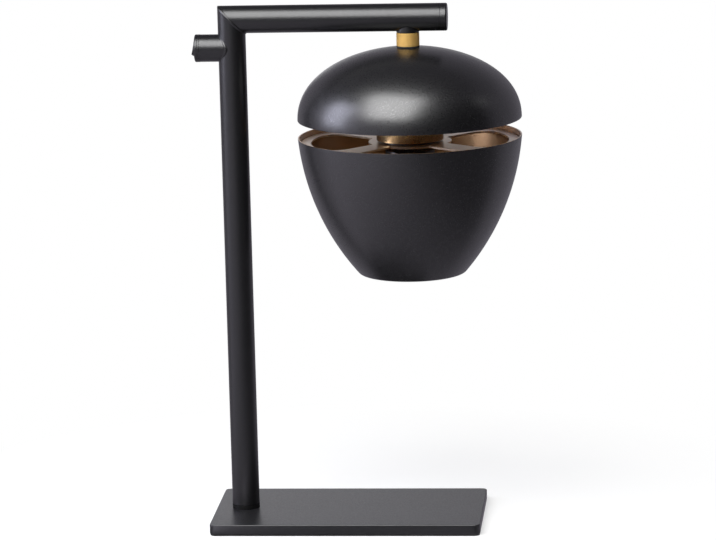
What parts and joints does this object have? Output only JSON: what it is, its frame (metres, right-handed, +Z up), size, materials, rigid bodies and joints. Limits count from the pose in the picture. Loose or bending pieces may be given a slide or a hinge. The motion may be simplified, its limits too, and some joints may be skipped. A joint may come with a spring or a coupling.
{
  "type": "desk lamp",
  "caption": "Desk lamp: a flat plate, an upright tube with a mitred arm, and a dome and bowl shade hung under the arm that turns; rocker switch in a short stub behind the upright.",
  "frame": {"origin": "centre of the base's underside, on the surface that it stands on", "axes": "+Z up, +X along the arm from the upright to the shade, +Y to the rear, where the cord inlet is"},
  "size_m": [0.2616, 0.1784, 0.4197],
  "materials": {
    "grey_paint": "matte graphite powder coat",
    "pad_rubber": "matte black rubber",
    "black_paint": "satin black paint",
    "black_plastic": "moulded black plastic",
    "plated_steel": "zinc-plated steel",
    "turned_brass": "fine-turned brass",
    "contact_brass": "stamped brass",
    "bronze_paint": "satin champagne bronze",
    "white_ceramic": "unglazed white",
    "bulb_white": "white",
    "opal_plastic": "opal",
    "brown_wire": "brown sleeve",
    "blue_wire": "blue sleeve"
  },
  "bodies": {
    "stand": {"base_pad": "pad_rubber", "base_plate": "grey_paint", "base_washer": "plated_steel", "base_bolt": "plated_steel", "foot_plug": "black_paint", "column_tube": "black_paint", "cable_gland": "black_plastic", "arm_tube": "black_paint", "arm_end_cap": "black_paint", "stub_tube": "black_paint", "switch_ring": "black_plastic", "switch_body": "black_plastic", "line_terminal": "contact_brass", "load_terminal": "contact_brass", "terminal_block": "white_ceramic", "line_lead": "brown_wire", "load_lead": "brown_wire", "neutral_lead": "blue_wire", "saddle_washer": "plated_steel", "hanger_bush": "black_plastic", "stop_pin": "plated_steel"},
    "switch_rocker": {"rocker": "black_plastic", "rocker_plunger": "contact_brass", "rocker_spring": "plated_steel"},
    "switch_contact": {"contact_seesaw": "contact_brass"},
    "shade": {"nipple": "plated_steel", "spring_washer": "plated_steel", "nipple_nut": "plated_steel", "brass_collar": "turned_brass", "dome_washer": "pad_rubber", "dome": "black_paint", "bowl": "black_paint", "spider": "bronze_paint", "cup_spacer": "plated_steel", "socket_cup": "bronze_paint", "cup_nut": "plated_steel", "holder_body": "black_plastic", "holder_cap": "black_plastic", "holder_insert": "white_ceramic", "screw_shell": "contact_brass", "centre_contact": "contact_brass", "ring_nut": "black_plastic", "bulb_contact": "contact_brass", "bulb_cap": "plated_steel", "bulb_housing": "bulb_white", "bulb_globe": "opal_plastic"}
  },
  "joints": [
    {"name": "rocker_tilt", "type": "hinge", "parent": "stand", "child": "switch_rocker", "pos_m": [-0.1114, 0, 0.386], "axis": [0, 1, 0], "range_deg": [-22, 0]},
    {"name": "contact_tilt", "type": "hinge", "parent": "stand", "child": "switch_contact", "pos_m": [-0.1045, 0, 0.386], "axis": [0, 1, 0], "range_deg": [0, 13.2]},
    {"name": "shade_swivel", "type": "hinge", "parent": "stand", "child": "shade", "pos_m": [0.0551, 0, 0.33], "axis": [0, 0, 1], "range_deg": [-160, 160]}
  ],
  "couplings": [
    {"joint": "contact_tilt", "follows": "rocker_tilt", "ratio": -0.6}
  ]
}
